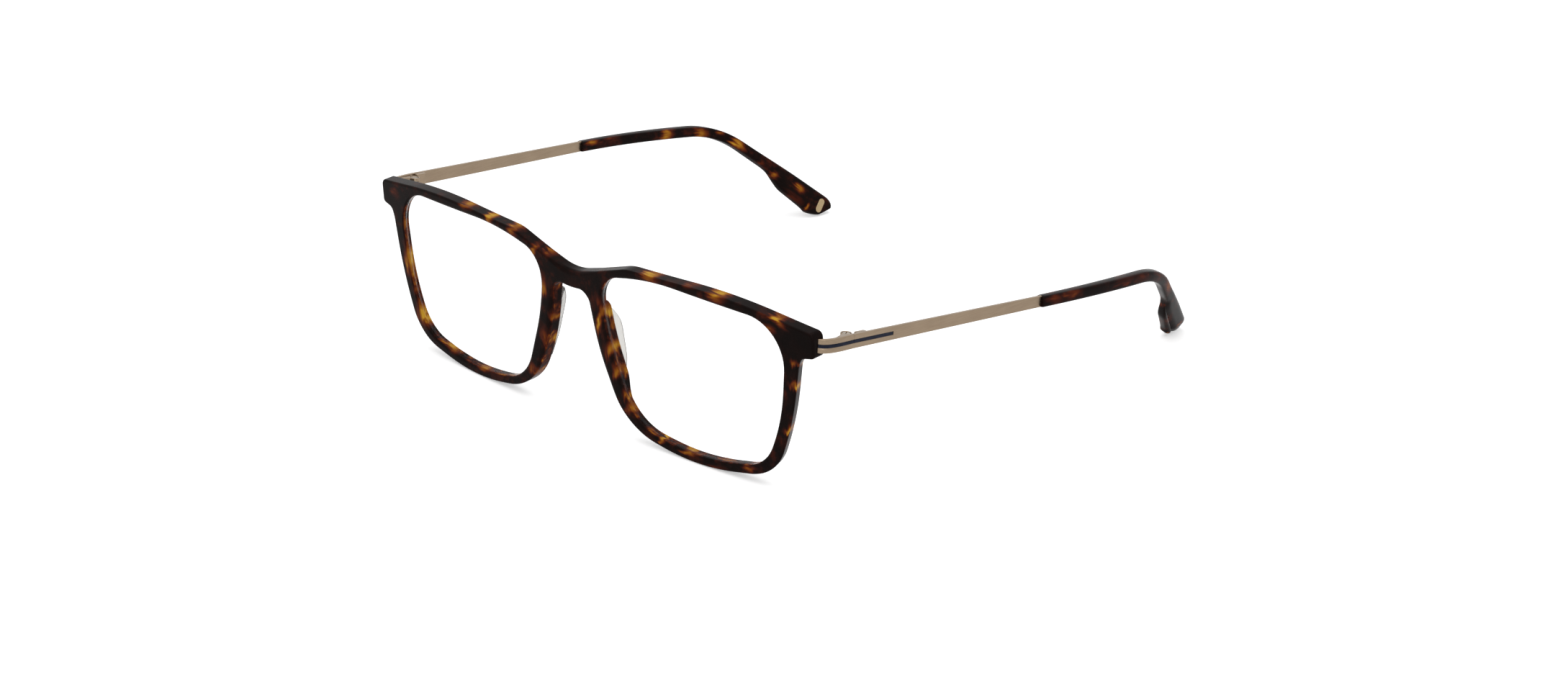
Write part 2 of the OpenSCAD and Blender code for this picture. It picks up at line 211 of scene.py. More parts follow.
class nodeBench:
    def __init__(self, name):
        self.material = bpy.data.materials.new(name)
        self.material.use_nodes = True
        self.tree = self.material.node_tree
        self.tree.nodes.clear()
        self.out = self.add("ShaderNodeOutputMaterial")

    def add(self, kind, **settings):
        node = self.tree.nodes.new(kind)
        for key, value in settings.items():
            setattr(node, key, value)
        return node

    def put(self, node, **values):
        for key, value in values.items():
            node.inputs[key.replace("_", " ")].default_value = value
        return node

    def link(self, source, target):
        self.tree.links.new(source, target)

    def vector(self, operation, *values):
        node = self.add("ShaderNodeVectorMath", operation=operation)
        for socket, value in zip(node.inputs, values):
            if isinstance(value, tuple):
                socket.default_value = value
            else:
                self.link(value, socket)
        return node.outputs["Value" if operation in ("DOT_PRODUCT", "LENGTH") else "Vector"]

    def coords(self, attribute=None):
        # millimetres, from the object or from the piece's own attribute
        if attribute:
            return self.add("ShaderNodeAttribute", attribute_name=attribute).outputs["Vector"]
        place = self.add("ShaderNodeTexCoord")
        scaled = self.add("ShaderNodeVectorMath", operation="SCALE")
        scaled.inputs["Scale"].default_value = 1000
        self.link(place.outputs["Object"], scaled.inputs[0])
        return scaled.outputs[0]

    def noise(self, coords, scale, stretch=(1, 1, 1), offset=(0, 0, 0), detail=3, rough=0.5, output="Fac"):
        mapped = self.add("ShaderNodeMapping")
        mapped.inputs["Scale"].default_value = stretch
        mapped.inputs["Location"].default_value = offset
        self.link(coords, mapped.inputs["Vector"])
        grain = self.add("ShaderNodeTexNoise")
        grain.inputs["Scale"].default_value = scale
        grain.inputs["Detail"].default_value = detail
        grain.inputs["Roughness"].default_value = rough
        self.link(mapped.outputs[0], grain.inputs["Vector"])
        return grain.outputs[output]

    def remap(self, value, low, high, toLow=0.0, toHigh=1.0, smooth=False):
        ranged = self.add("ShaderNodeMapRange", interpolation_type="SMOOTHSTEP" if smooth else "LINEAR")
        ranged.inputs["From Min"].default_value = low
        ranged.inputs["From Max"].default_value = high
        ranged.inputs["To Min"].default_value = toLow
        ranged.inputs["To Max"].default_value = toHigh
        self.link(value, ranged.inputs["Value"])
        return ranged.outputs[0]

    def sum(self, a, b, operation="ADD"):
        node = self.add("ShaderNodeMath", operation=operation)
        for socket, value in zip(node.inputs, (a, b)):
            if isinstance(value, (int, float)):
                socket.default_value = value
            else:
                self.link(value, socket)
        return node.outputs[0]

    def ramp(self, value, stops):
        ramp = self.add("ShaderNodeValToRGB")
        band = ramp.color_ramp
        while len(band.elements) < len(stops):
            band.elements.new(0.5)
        for element, (at, colour) in zip(band.elements, stops):
            element.position = at
            element.color = (*colour, 1)
        self.link(value, ramp.inputs[0])
        return ramp.outputs[0]

    def bump(self, value, strength, depth):
        node = self.add("ShaderNodeBump")
        node.inputs["Strength"].default_value = strength
        node.inputs["Distance"].default_value = depth * mm
        self.link(value, node.inputs["Height"])
        return node.outputs[0]


def paintedWallLight(bench, coords, split, normal, facing):
    # painted light: a warm red-brown is added to the colour of the walls round the lenses and beside the
    # nose, where light comes through
    lensAcross, lensUp = 36.5, 21
    middle = bench.add("ShaderNodeCombineXYZ")
    middle.inputs["Z"].default_value = lensUp
    side = bench.sum(split.outputs["X"], 0, "SIGN")
    bench.link(bench.sum(side, lensAcross, "MULTIPLY"), middle.inputs["X"])
    bench.link(split.outputs["Y"], middle.inputs["Y"])
    toward = bench.vector("SUBTRACT", middle.outputs[0], coords)
    straight = bench.vector("NORMALIZE", toward)
    inward = bench.vector("DOT_PRODUCT", normal, straight)
    aside = bench.sum(split.outputs["X"], 0, "ABSOLUTE")
    nose = bench.sum(bench.remap(aside, 17, 14, smooth=True),
                     bench.remap(split.outputs["Z"], 35.5, 33, smooth=True), "MULTIPLY")
    lit = bench.sum(bench.remap(inward, 0.1, 0.5), nose, "MAXIMUM")
    return bench.sum(bench.remap(facing, 0.92, 0.5, 0, 0.42, smooth=True), lit, "MULTIPLY")


# amber clouds: place, half sizes, turn in the front's plane, strength; below zero the place stays black
def tortoiseshell(name, clouds, attribute, upAxis, standing):
    bench = nodeBench(name)
    coords = bench.coords(attribute)
    streak = bench.noise(coords, 1.0, stretch=(0.16, 1.1, 1.1), detail=3, rough=0.55)
    if standing:
        # on the side bars of the rims the streaks stand up, on the others they lie
        split = bench.add("ShaderNodeSeparateXYZ")
        bench.link(coords, split.inputs[0])
        upright = bench.sum(bench.remap(split.outputs["Z"], 4.5, 9, smooth=True),
                            bench.remap(split.outputs["Z"], 38, 34, smooth=True), "MULTIPLY")
        across = bench.noise(coords, 1.0, stretch=(1.1, 1.1, 0.16), detail=3, rough=0.55)
        lying = bench.sum(1.0, upright, "SUBTRACT")
        streak = bench.sum(bench.sum(streak, lying, "MULTIPLY"), bench.sum(across, upright, "MULTIPLY"))
    # the streaks draw the clouds' ends out a little
    pull = bench.remap(streak, 0.25, 0.75, -1.1, 1.1)
    flame = bench.add("ShaderNodeCombineXYZ")
    if standing:
        bench.link(bench.sum(pull, lying, "MULTIPLY"), flame.inputs[0])
        bench.link(bench.sum(pull, upright, "MULTIPLY"), flame.inputs[2])
    else:
        bench.link(pull, flame.inputs[0])
    wobble = bench.noise(coords, 0.22, detail=2, output="Color")
    centred = bench.vector("MULTIPLY_ADD", wobble, (3.2, 3.2, 3.2), (-1.6, -1.6, -1.6))
    warped = bench.vector("ADD", coords, flame.outputs[0])
    pushed = bench.vector("ADD", warped, centred)
    amount, calm = None, None
    for at, size, turn, strength in clouds:
        local = bench.add("ShaderNodeMapping", vector_type="TEXTURE")
        local.inputs["Location"].default_value = at
        local.inputs["Rotation"].default_value = [math.radians(turn) if k == upAxis else 0 for k in range(3)]
        local.inputs["Scale"].default_value = size
        bench.link(pushed, local.inputs["Vector"])
        far = bench.vector("LENGTH", local.outputs[0])
        cloud = bench.remap(far, 1.5, 0.05, 0, abs(strength), smooth=True)
        if strength > 0:
            amount = cloud if amount is None else bench.sum(amount, cloud, "MAXIMUM")
        else:
            calm = cloud if calm is None else bench.sum(calm, cloud, "MAXIMUM")
    # red-brown mottling fills the dark between the clouds
    mottle = bench.noise(coords, 0.26, offset=(7, 3, 5), detail=4, rough=0.6)
    dark = bench.remap(mottle, 0.38, 0.7, 0.03, 0.4, smooth=True)
    dark = bench.sum(dark, bench.sum(1.0, calm, "SUBTRACT"), "MULTIPLY")
    if standing:
        # painted light: the clouds are made brighter on the rims' walls and dimmer on the flat front, where
        # less light comes through
        normal = bench.add("ShaderNodeNewGeometry").outputs["Normal"]
        facing = bench.vector("DOT_PRODUCT", normal, (0, -1, 0))
        amount = bench.sum(amount, bench.remap(facing, 0.6, 0.96, 1.15, 0.88), "MULTIPLY")
        # painted light: the glow through the walls is added to the red-brown mottle
        paintedWallGlow = paintedWallLight(bench, coords, split, normal, facing)
        dark = bench.sum(dark, bench.sum(paintedWallGlow, bench.remap(mottle, 0.35, 0.6), "MULTIPLY"))
    # fine lines run through both
    fine = bench.sum(amount, bench.remap(streak, 0.3, 0.68, 0.62, 1.16), "MULTIPLY")
    lines = bench.sum(dark, bench.remap(streak, 0.3, 0.7, 0.5, 1.15), "MULTIPLY")
    colour = bench.ramp(bench.sum(fine, lines, "MAXIMUM"), [
        (0.0, (0.0055, 0.0034, 0.003)), (0.16, (0.01, 0.0042, 0.0034)), (0.34, (0.034, 0.0075, 0.0045)),
        (0.5, (0.09, 0.016, 0.0055)), (0.66, (0.19, 0.052, 0.0065)), (0.84, (0.34, 0.135, 0.012)),
        (1.0, (0.5, 0.27, 0.026))])
    rub = bench.noise(coords, 1.6, offset=(2, 9, 4), detail=5, rough=0.65)
    acetate = bench.add("ShaderNodeBsdfPrincipled")
    bench.link(colour, acetate.inputs["Base Color"])
    bench.link(bench.remap(rub, 0.3, 0.75, 0.13, 0.24), acetate.inputs["Roughness"])
    bench.link(bench.bump(rub, 0.15, 0.02), acetate.inputs["Normal"])
    bench.put(acetate, IOR=1.47, Specular_IOR_Level=0.03)
    bench.link(acetate.outputs[0], bench.out.inputs[0])
    return bench.material


def clearPlastic(name, tint, paintedEdgeShade, roughness, ior, specks, shine, through):
    bench = nodeBench(name)
    coords = bench.coords()
    haze = bench.noise(coords, specks, detail=3)
    tilt = bench.add("ShaderNodeLayerWeight")
    tilt.inputs["Blend"].default_value = 0.5
    # painted shade: the colour turns to the edge colour where the surface turns from view, for the dark
    # outline the clear plastic shows
    edge = bench.sum(bench.remap(tilt.outputs["Facing"], 0.55, 0.95, smooth=True),
                     bench.sum(haze, 0.06, "MULTIPLY"))
    body = bench.add("ShaderNodeBsdfPrincipled")
    sheer = bench.add("ShaderNodeBsdfRefraction")
    colour = bench.ramp(edge, [(0.02, tint), (0.9, paintedEdgeShade)])
    rough = bench.remap(haze, 0.3, 0.7, roughness * 0.6, roughness)
    bench.link(colour, body.inputs["Base Color"])
    bench.link(rough, body.inputs["Roughness"])
    bench.put(body, IOR=ior, Transmission_Weight=through, Specular_Tint=(shine, shine, shine, 1))
    bench.link(colour, sheer.inputs["Color"])
    bench.link(rough, sheer.inputs["Roughness"])
    bench.put(sheer, IOR=ior)
    # a coated lens hardly mirrors, so most of it only bends the light
    coated = bench.add("ShaderNodeMixShader")
    coated.inputs[0].default_value = 1 - shine
    bench.link(body.outputs[0], coated.inputs[1])
    bench.link(sheer.outputs[0], coated.inputs[2])
    clear = bench.add("ShaderNodeBsdfTransparent")
    path = bench.add("ShaderNodeLightPath")
    mix = bench.add("ShaderNodeMixShader")
    # light that only falls through it goes straight on
    straight = bench.sum(path.outputs["Is Shadow Ray"], path.outputs["Is Diffuse Ray"], "MAXIMUM")
    bench.link(straight, mix.inputs[0])
    bench.link(coated.outputs[0], mix.inputs[1])
    bench.link(clear.outputs[0], mix.inputs[2])
    bench.link(mix.outputs[0], bench.out.inputs[0])
    return bench.material


def brushedMetal(name, light, dark, low, high, brushAlong):
    bench = nodeBench(name)
    coords = bench.coords()
    brush = bench.noise(coords, 1.0, stretch=brushAlong, detail=5, rough=0.6)
    cloud = bench.noise(coords, 0.12, detail=2)
    tone = bench.sum(bench.sum(brush, 0.6, "MULTIPLY"),
                     bench.sum(cloud, 0.4, "MULTIPLY"))
    metal = bench.add("ShaderNodeBsdfPrincipled")
    bench.link(bench.ramp(tone, [(0.32, dark), (0.66, light)]), metal.inputs["Base Color"])
    bench.link(bench.remap(brush, 0.3, 0.7, low, high), metal.inputs["Roughness"])
    bench.link(bench.bump(brush, 0.25, 0.01), metal.inputs["Normal"])
    bench.put(metal, Metallic=1.0)
    bench.link(metal.outputs[0], bench.out.inputs[0])
    return bench.material


def glossyEnamel(name, colour):
    bench = nodeBench(name)
    coords = bench.coords()
    flow = bench.noise(coords, 0.9, detail=4)
    paler = [c * 1.5 + 0.002 for c in colour]
    enamel = bench.add("ShaderNodeBsdfPrincipled")
    bench.link(bench.ramp(flow, [(0.35, colour), (0.7, paler)]), enamel.inputs["Base Color"])
    bench.link(bench.remap(flow, 0.3, 0.7, 0.12, 0.22), enamel.inputs["Roughness"])
    bench.link(bench.bump(flow, 0.2, 0.02), enamel.inputs["Normal"])
    bench.put(enamel, Specular_IOR_Level=0.12, Coat_Weight=0.05, Coat_Roughness=0.08)
    bench.link(enamel.outputs[0], bench.out.inputs[0])
    return bench.material


# clouds of the front, right through it: across (wearer's left is plus), up, half sizes, turn, strength
frontClouds = [
    (-62.2, 21.5, 1.7, 5.4, 0, 0.95), (-57.6, 9.2, 3, 4, 20, 1.0), (-65.5, 38, 2.5, 1.6, 0, 0.55),
    (-60.5, 14.5, 1.6, 2.6, 10, 0.55), (-48, 4.2, 4.2, 1.6, 20, 0.85), (-34, 2.2, 3.2, 1.2, 5, 0.8),
    (-36.5, 43, 3.2, 1.4, -5, 0.8), (-27.5, 42.2, 2.8, 1.8, 30, 0.95), (-19, 41.8, 2.8, 2, 25, 0.8),
    (-12.3, 38.4, 1.8, 2.4, 30, 1.0), (-7.8, 39.6, 2.6, 1, 20, 0.6), (-9.2, 31, 1.4, 3.8, 5, 0.85),
    (-6.6, 22, 1.4, 3.4, -15, 0.8), (-9.8, 17.8, 1.5, 3.2, -10, 0.85), (-15, 8, 3, 2.2, -35, 0.8),
    (25.5, 42.1, 3.6, 1.3, 0, 0.85), (37, 42.8, 3, 1.2, 0, 0.5), (44.6, 43, 3.4, 2.4, 25, 0.9),
    (61.4, 40.7, 3.2, 1.3, 20, 1.0), (59, 38.8, 2.8, 1.2, 15, 0.8), (66, 32.3, 1.3, 1.4, 0, 0.8),
    (66, 26.7, 2.2, 1.2, 0, 0.9), (63.8, 15.8, 2.2, 1.4, 0, 0.9), (52.5, 3.3, 2.6, 1, -20, 0.75),
    (27, 3.1, 1.3, 1, 10, 0.9), (34.4, 1.8, 3.4, 0.6, 3, 0.85), (9.1, 27.4, 0.95, 5, 8, 1.0),
    (11.2, 20.6, 1.2, 3.4, 10, 0.85), (13, 15.8, 1.4, 2.6, 10, 0.85), (16.4, 11, 1.5, 2.8, 25, 0.9),
    (17, 7.2, 1.8, 2.2, 30, 0.8), (8.8, 32.4, 1.4, 2.6, 0, 0.6), (43, 1, 4, 1, 0, 0.5),
    (69, 37, 7, 5, 0, -1), (-69, 37, 5, 4, 0, -0.9), (0, 35.5, 6, 3, 0, -0.5),
]
# clouds of the tips: place (along from the mouth, out, up), half sizes, strength
tipClouds = [
    ((9.6, 1.4, 0.6), (4, 1.6, 1.5), 0.68), ((4.2, 1.4, 0), (4, 1.6, 2), 0.5),
    ((29.5, 1.4, 0.6), (5.5, 1.6, 1.6), 0.56), ((37, 1.4, 0), (5, 1.6, 2), 0.44),
    ((45, 1.4, 0.6), (3.4, 1.6, 1.8), 0.5), ((56, 1.4, 0.2), (4.8, 1.8, 2), 0.58),
    ((74, 1.4, -3.2), (4, 1.6, 1.6), 0.5), ((84.6, 1, -4.6), (1.2, 1.4, 1.2), 0.8),
    ((84.4, 1, -0.4), (1.2, 1.4, 1.2), 0.7), ((4, -1.4, 0.8), (3.2, 1.8, 1.2), 0.75),
    ((9.5, -1.4, 1), (2.4, 1.6, 0.9), 0.5), ((29.4, -1.4, 0), (2.8, 2, 2.2), 0.9),
    ((40.6, -1.4, 0), (3, 2.2, 2.2), 0.85), ((46.5, -1.4, 1), (1.4, 1.6, 1), 0.75),
    ((53, -1.4, 0), (2.9, 2.2, 2.1), 0.95), ((61.5, -1.4, -1.2), (1.6, 2, 1.2), 0.7),
    ((66.6, -1.4, -1.8), (1.8, 2, 1.7), 1.0), ((75, -1.4, -0.6), (2.3, 2, 1.7), 0.8),
    ((81.6, -1.4, -4.3), (1.7, 2, 1.5), 0.85), ((75, -1.4, -3.6), (4.5, 2, 1.6), 0.5),
    ((20, 1.4, 0), (5, 1.6, 2), -0.7),
]

throughClouds = [((x, -68, z), (wide, 90, high), turn, strength)
                 for x, z, wide, high, turn, strength in frontClouds]
frontAcetate = tortoiseshell("frontAcetate", throughClouds, None, 1, True)
tipAcetate = tortoiseshell("tipAcetate", [(*cloud[:2], 0, cloud[2]) for cloud in tipClouds], "run", 2, False)
lensClear = clearPlastic("lensClear", (0.996, 0.998, 0.998), (0.97, 0.98, 0.98), 0.01, 1.5, 0.15, 0.15, 1.0)
padClear = clearPlastic("padClear", (0.7, 0.69, 0.67), (0.06, 0.055, 0.05), 0.2, 1.46, 0.8, 0.8, 0.85)
champagneMetal = brushedMetal("champagneMetal", (0.35, 0.265, 0.185), (0.27, 0.2, 0.138), 0.26, 0.4,
                              (3.5, 0.12, 3.5))
screwSteel = brushedMetal("screwSteel", (0.46, 0.4, 0.33), (0.3, 0.26, 0.21), 0.2, 0.38, (6, 6, 0.8))
goldPlaque = brushedMetal("goldPlaque", (0.5, 0.375, 0.22), (0.36, 0.26, 0.145), 0.25, 0.4, (5, 5, 1))
navyEnamel = glossyEnamel("navyEnamel", (0.004, 0.006, 0.018))
print("materials ready")


frontShape = {
    "y": -71.05, "z": -0.08, "lean": 4.4, "bow": 480, "thick": 3.3, "edge": 0.35,
    "bridgeTop": (0, 36.8, 30), "bridgeFoot": (0, 33, 60),
    "half": [(8.2, 39.1, 8.5), (18.3, 42.3, 13), (47.8, 43.2, 400), (71.1, 39.7, 1.5), (71.1, 34, 1.1),
             (66.2, 33.1, 5), (63.9, 17.7, 400), (58.6, 2.8, 11.5), (37.4, -1, 400), (15.5, 3, 17.5),
             (7.8, 19.9, 400), (5.4, 33.6, 4.5)],
    "lens": [(8.6, 37.9, 7.5), (25, 41.5, 400), (64.4, 39.8, 10.3), (62.3, 17.5, 400), (57.3, 4.8, 10.6),
             (37.6, 1.2, 400), (17.4, 4.5, 13.4), (10.3, 24.6, 400)],
}
padShape = {
    "x": 9.8, "z": 21, "flare": 15, "splay": 22, "thick": 1.7, "edge": 0.7,
    "outline": [(2.8, 28.6, 0.8), (3.9, 30.4, 2), (6.7, 26.5, 8), (6.7, 17, 8), (4.6, 10.5, 2),
                (2.8, 12.5, 0.8)],
}
# the back is raised beside each pad
bumpShape = {
    "x": 9.9, "lean": 15, "least": 1.4, "high": 1.3, "low": 8.5, "flat": 15, "top": 31.6, "end": 1.6,
    "from": 2.2, "edge": 0.4, "rings": 44,
}


def mirrored(corners):
    return [(-x, z, r) for x, z, r in reversed(corners)]


frontPlane = Matrix.Translation((0, frontShape["y"], frontShape["z"])) @ turned(frontShape["lean"], "X")


def bowToFront(obj, depth):
    # the drawn plate stands up, its middle goes to that depth, and its sides sweep back on the bow
    radius = frontShape["bow"]
    for spot in obj.data.vertices:
        x, up, out = spot.co
        inset = depth - out
        spot.co = (x, radius - math.sqrt((radius - inset) ** 2 - x * x), up)
    settle(obj, frontPlane)
    closeMesh(obj, 0.0005 * mm)


def bezierPoint(a, b, c, d, t):
    return (1 - t) ** 3 * a + 3 * t * (1 - t) ** 2 * b + 3 * t * t * (1 - t) * c + t ** 3 * d


def outlinePoints(corners, steps=10):
    # the rounded outline as points, for what has to follow it
    points = roundedPoints(corners)
    found = []
    for (start, _, hold), (end, _, lead) in zip(points[0::2], points[1::2]):
        found += [bezierPoint(start, hold, lead, end, k / steps) for k in range(steps + 1)]
    return found


def openingEdge(z):
    # nasal side of the lens opening at that height
    points = outlinePoints(frontShape["lens"])
    near = []
    for p, q in zip(points, points[1:] + points[:1]):
        if min(p.y, q.y) <= z <= max(p.y, q.y) and p.y != q.y:
            near.append(p.x + (q.x - p.x) * (z - p.y) / (q.y - p.y))
    return min(near)


def bumpHeight(z):
    s = bumpShape
    rise = eased((z - s["low"]) / (s["flat"] - s["low"]))
    return s["high"] * rise * math.sqrt(clamp01((s["top"] - z) / s["end"]))


def makeBump():
    s, thick = bumpShape, frontShape["thick"]
    rings = []
    for k in range(s["rings"] + 1):
        z = s["low"] + (s["top"] - s["low"]) * (1 - (1 - k / s["rings"]) ** 1.6)  # closer at the top
        wall = openingEdge(z) - 0.03
        pad = max(s["x"] + (padShape["z"] - z) * math.tan(math.radians(s["lean"])), wall - s["least"])
        back, r = thick + bumpHeight(z) - 0.02, s["edge"]
        section = [(pad, s["from"]), (pad, back - 0.1), (pad + 0.1, back)]
        section += [(wall - r + r * math.sin(math.radians(a)), back - r + r * math.cos(math.radians(a)))
                    for a in (0, 22, 45, 67, 90)]
        section += [(wall, s["from"])]
        rings.append([Vector((x, z, thick / 2 - deep)) for x, deep in section])
    return loft("bumpLeft", rings)


# the rims' edges: width and depth of the roll, what nose, saddle and sides change, and the walls' lean
edgeShape = {
    "inner": 0.85, "innerDeep": 0.5, "innerSide": 0.2, "innerNose": 0.45, "innerNoseDeep": 0.15,
    "outer": 0.55, "outerDeep": 0.5, "outerNose": 1.0, "outerNoseDeep": 0.25,
    "saddle": 0.75, "saddleWide": 11, "saddleFrom": 34.5, "noseHalf": 15, "noseTop": 33, "noseFoot": 5,
    "sideFrom": 50, "holeLean": 0.65, "faceLean": 1.0, "backLean": 0.4, "leanFrom": 48, "leanTop": 34,
}


def edgeSamples(loop, inner):
    # points along the outline, each with the way into the plastic
    points = outlinePoints(loop, 16)
    dense = []
    for p, q in zip(points, points[1:] + points[:1]):
        count = max(1, int((q - p).length / 0.5))
        dense += [p.lerp(q, k / count) for k in range(count)]
    area = sum(p.x * q.y - q.x * p.y for p, q in zip(dense, dense[1:] + dense[:1]))
    turn = (1 if area > 0 else -1) * (-1 if inner else 1)
    samples = []
    for before, here, after in zip(dense[-1:] + dense[:-1], dense, dense[1:] + dense[:1]):
        along = (after - before).normalized()
        samples.append((here, Vector((-along.y, along.x)) * turn, inner))
    return samples


def softEdge(at, inner):
    # how far in and how deep the front's edge is rolled there
    s = edgeShape
    nose = eased((s["noseHalf"] - abs(at.x)) / 5)
    nose *= eased((s["noseTop"] - at.y) / 3) * eased((at.y - s["noseFoot"]) / 5)
    if inner:
        side = eased((abs(at.x) - s["sideFrom"]) / 8)
        wide = s["inner"] - s["innerSide"] * side + s["innerNose"] * nose
        return wide, s["innerDeep"] + s["innerNoseDeep"] * nose
    saddle = 0
    if at.y > s["saddleFrom"]:
        saddle = s["saddle"] * (1 - min(1, (at.x / s["saddleWide"]) ** 2)) ** 2
    return s["outer"] + s["outerNose"] * nose + saddle, s["outerDeep"] + s["outerNoseDeep"] * nose + saddle


def draft(at, way, inner, ahead):
    # side walls lean, so that the face is wider than the back
    s = edgeShape
    if inner:
        return -way.x * s["holeLean"] * ahead
    side = eased((abs(at.x) - s["leanFrom"]) / 8) * eased((s["leanTop"] - at.y) / 2)
    return -way.x * side * (s["faceLean"] * ahead - s["backLean"] * (1 - ahead))


def rollEdges(front, samples):
    s = frontShape
    tree = kdtree.KDTree(len(samples))
    for k, (at, way, inner) in enumerate(samples):
        tree.insert((at.x, at.y, 0), k)
    tree.balance()
    start = s["thick"] / 2 - s["edge"]
    for spot in front.data.vertices:
        x, up, out = spot.co
        at, way, inner = samples[tree.find((x, up, 0))[1]]
        x += draft(at, way, inner, out / s["thick"] + 0.5)
        spot.co.x = x
        if out < start - 0.001:
            continue
        wide, deep = softEdge(at, inner)
        lift = clamp01((out - start) / s["edge"])
        shift = way * (wide - s["edge"]) * (1 - math.sqrt(1 - lift * lift))
        spot.co = (x + shift.x, up + shift.y, out - (deep - s["edge"]) * (1 - lift))


def refaceFront(obj, height, step):
    # fresh flat faces between the rolled edges, cut across so that they can follow the bow
    shell = bmesh.new()
    shell.from_mesh(obj.data)
    for way in (1, -1):
        flat = [face for face in shell.faces if min(spot.co.z * way for spot in face.verts) > height - 0.0001]
        bmesh.ops.delete(shell, geom=flat, context="FACES")
        bare = [edge for edge in shell.edges if edge.is_boundary]
        bmesh.ops.triangle_fill(shell, use_beauty=True, edges=bare, normal=(0, 0, way))
    half = int(max(abs(spot.co.x) for spot in shell.verts) / step)
    for k in range(-half, half + 1):
        parts = shell.verts[:] + shell.edges[:] + shell.faces[:]
        bmesh.ops.bisect_plane(shell, geom=parts, plane_co=(k * step + 0.3, 0, 0), plane_no=(1, 0, 0),
                               dist=0.0001)
    shell.to_mesh(obj.data)
    shell.free()


def makeFront():
    s = frontShape
    outer = [s["bridgeTop"], *s["half"], s["bridgeFoot"], *mirrored(s["half"])]
    holes = [s["lens"], mirrored(s["lens"])]
    front = cutPlate("frontFrame", [outer, *holes], s["thick"], s["edge"], 14, 6)
    samples = edgeSamples(outer, False)
    for hole in holes:
        samples += edgeSamples(hole, True)
    rollEdges(front, samples)
    refaceFront(front, s["thick"] / 2, 3)
    left = makeBump()
    right = otherSide(left, "bumpRight")
    front = join("frontFrame", [front, left, right])
    bowToFront(front, s["thick"] / 2)
    polish(front)
    dress(front, "front", ["front_frame"], frontAcetate)
    print("front made,", len(front.data.vertices), "points")


makeFront()


lensShape = {"thick": 1.6, "depth": 1.65, "edge": 0.16, "grow": 0.45}  # the edge sits in the rim's groove


def makeLenses():
    s = lensShape
    left = cutPlate("lensLeft", [frontShape["lens"]], s["thick"], s["edge"], 14, 2, s["grow"])
    bowToFront(left, s["depth"])
    right = otherSide(left, "lensRight")
    for lens, node in ((left, "lens_left"), (right, "lens_right")):
        polish(lens)
        dress(lens, "front", [node], lensClear)
    print("lenses made")


# drawn across becomes depth, drawn up stays up, and the thickness lies across
standUp = Matrix(((0, 0, 1, 0), (1, 0, 0, 0), (0, 1, 0, 0), (0, 0, 0, 1)))


def makePads():
    s = padShape
    left = cutPlate("nosePadLeft", [s["outline"]], s["thick"], s["edge"], 10, 6)
    place = (frontPlane @ Matrix.Translation((s["x"], frontShape["thick"], s["z"])) @ turned(-s["splay"], "Z")
             @ turned(-s["flare"], "Y") @ Matrix.Translation((0, -frontShape["thick"], -s["z"])) @ standUp)
    settle(left, place)
    right = otherSide(left, "nosePadRight")
    for pad, node in ((left, "nose_pad_left"), (right, "nose_pad_right")):
        polish(pad, 50)
        dress(pad, "front", [node], padClear)
    print("pads made")


makeLenses()
makePads()


hingeShape = {"x": 71.2, "y": -58.6, "z": 36.65, "fall": 5.3, "endFall": 3.2, "splay": 2.8, "inset": 2.1}
hingePoint = Matrix.Translation((hingeShape["x"], hingeShape["y"], hingeShape["z"]))
hingeSpace = hingePoint @ turned(-hingeShape["fall"], "X")
endSpace = hingePoint @ turned(-hingeShape["endFall"], "X")
templeSpace = hingeSpace @ turned(-hingeShape["splay"], "Z")
barLength = 59
tipSpace = templeSpace @ Matrix.Translation((hingeShape["inset"], barLength, 0))

stripShape = {
    "thick": 0.8, "high": 3.2, "endHigh": 2.6, "round": 0.14, "channel": 0.42, "lip": 0.07, "sunk": 0.3,
    "stripeOnBar": 12, "enamelSunk": 0.04,
    "footStart": (-6.2, -8.6), "footEnd": (-1.4, -8.4), "bendOut": (1.5, -8.4), "bendBack": (1.85, -5.2),
    "joint": (2.1, -0.1), "stripeFrom": 0.06, "bendSteps": 28, "endShrink": 0.965, "slack": 0.015,
}


def quarter(x, y, r, start):
    angles = [math.radians(start + 30 * k) for k in range(4)]
    return [(x + r * math.cos(a), y + r * math.sin(a)) for a in angles]


def stripSection(high, channel):
    # (out, up) round a flat bar; the outer face holds the enamel's channel, level where there is none
    s = stripShape
    half, top, r, c = s["thick"] / 2, high / 2, s["round"], s["channel"]
    sunk = s["sunk"] if channel else 0
    step = half - min(sunk, 0.05)
    points = quarter(half - r, -top + r, r, -90)
    points += [(half, -c - s["lip"]), (step, -c), (half - sunk, -c + 0.01)]
    points += [(half - sunk, c - 0.01), (step, c), (half, c + s["lip"])]
    points += quarter(half - r, top - r, r, 0)
    points += quarter(-half + r, top - r, r, 90)
    points += quarter(-half + r, -top + r, r, 180)
    return points


def bendPoint(t):
    return bezierPoint(*(Vector(stripShape[k]) for k in ("footEnd", "bendOut", "bendBack", "joint")), t)


def bendSide(t):
    along = (bendPoint(t + 0.001) - bendPoint(t - 0.001)).normalized()
    return Vector((along.y, -along.x))


def ringAt(at, side, section, shrink=1.0):
    return [Vector((at.x + side.x * out * shrink, at.y + side.y * out * shrink, up * shrink))
            for out, up in section]


def makeEndPiece():
    s = stripShape
    start, steps = s["stripeFrom"], s["bendSteps"]
    plain = stripSection(s["high"], False)
    milled = stripSection(s["high"], True)
    rings = [ringAt(Vector(s["footStart"]), Vector((0.04, -1)), plain)]
    rings.append(ringAt(bendPoint(0), bendSide(0.002), plain))
    rings.append(ringAt(bendPoint(start), bendSide(start), plain))
    for k in range(steps + 1):
        t = start + (1 - start) * k / steps
        rings.append(ringAt(bendPoint(t), bendSide(t), milled))
    rings.append(ringAt(bendPoint(1.006), bendSide(1), milled, s["endShrink"]))
    left = loft("endPieceLeft", rings)
    settle(left, endSpace)
    return left


